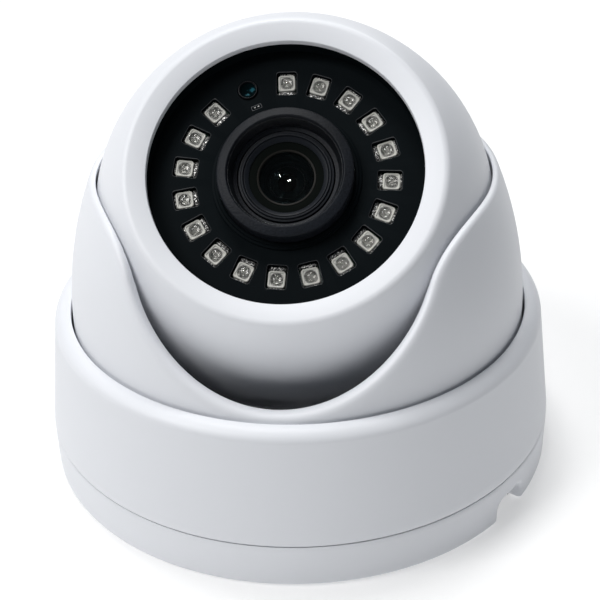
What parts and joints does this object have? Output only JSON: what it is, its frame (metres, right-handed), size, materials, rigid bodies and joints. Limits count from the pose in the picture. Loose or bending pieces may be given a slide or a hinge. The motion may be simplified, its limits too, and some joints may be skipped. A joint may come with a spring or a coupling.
{
  "type": "dome cctv camera",
  "caption": "White eyeball dome camera: a ball with lens and infrared lamp ring tilts in a domed collar that pans in a round base with a cable notch.",
  "frame": {"origin": "centre of the base's underside, where the pan axis meets the mounting face", "axes": "+Z along the pan axis away from the mounting face, -Y the side that the lens looks towards, +X along the tilt axis"},
  "size_m": [0.094, 0.094, 0.0826],
  "materials": {
    "white_plastic": "fine matt texture",
    "black_rubber": "matt",
    "steel": "plated",
    "bearing_plastic": "satin",
    "dark_plastic": "matt",
    "mask_black": "smooth satin",
    "circuit_board": "solder mask",
    "lamp_ceramic": "satin ceramic",
    "clear_glass": "polished",
    "tinted_glass": "polished",
    "sensor_face": "glossy",
    "charcoal_metal": "fine matt texture",
    "copper": "lacquered wire",
    "lead_film": "film",
    "brass": "turned",
    "aluminium": "satin"
  },
  "bodies": {
    "base": {"mounting_base": "white_plastic", "base_seal": "black_rubber", "cover_ring": "white_plastic", "cover_lock_screw": "steel", "pan_slide_ring": "bearing_plastic", "pan_retainer": "dark_plastic", "pan_friction_ring": "black_rubber", "retainer_screws": "steel"},
    "collar": {"collar": "white_plastic", "pivot_pins": "steel", "pivot_washers": "black_rubber", "ball_cradle": "dark_plastic", "cradle_screws": "steel", "brake_pads": "black_rubber"},
    "ball": {"front_shell": "white_plastic", "rear_shell": "white_plastic", "shell_seal": "black_rubber", "shell_screws": "steel", "pivot_bushes": "bearing_plastic", "cable_gland": "dark_plastic", "gland_nut": "dark_plastic", "carrier_retainer": "dark_plastic", "carrier_screws": "steel"},
    "camera": {"module_carrier": "dark_plastic", "lamp_mask": "mask_black", "lamp_board": "circuit_board", "infrared_lamps": "lamp_ceramic", "lamp_domes": "clear_glass", "light_sensor": "sensor_face", "light_sensor_rim": "lamp_ceramic", "lens_hood": "charcoal_metal", "hood_foot_ring": "mask_black", "lens_barrel": "charcoal_metal", "lens_retaining_ring": "charcoal_metal", "front_element": "clear_glass", "middle_element": "clear_glass", "rear_element": "clear_glass", "lens_lock_nut": "charcoal_metal", "lens_holder": "dark_plastic", "filter_box": "dark_plastic", "filter_coil": "copper", "image_sensor": "sensor_face", "sensor_board": "circuit_board", "main_board": "circuit_board", "long_posts": "brass", "short_posts": "brass", "board_screws": "steel", "main_chip": "mask_black", "heat_sink": "aluminium", "memory_chips": "mask_black", "capacitors": "aluminium", "board_sockets": "bearing_plastic", "flat_lead": "lead_film"},
    "filter": {"filter_slider": "dark_plastic", "cut_glass": "tinted_glass", "clear_glass": "clear_glass"}
  },
  "joints": [
    {"name": "pan", "type": "hinge", "parent": "base", "child": "collar", "pos_m": [0, 0, 0], "axis": [0, 0, 1], "range_deg": [-180, 180]},
    {"name": "tilt", "type": "hinge", "parent": "collar", "child": "ball", "pos_m": [0, 0, 0.0471], "axis": [1, 0, 0], "range_deg": [-42.5, 35.5]},
    {"name": "turn", "type": "hinge", "parent": "ball", "child": "camera", "pos_m": [0, 0, 0.0471], "axis": [0, -0.6756, 0.7373], "range_deg": [-177, 177]},
    {"name": "filter_shift", "type": "slide", "parent": "camera", "child": "filter", "axis": [1, 0, 0], "range_m": [0, 0.008]}
  ]
}
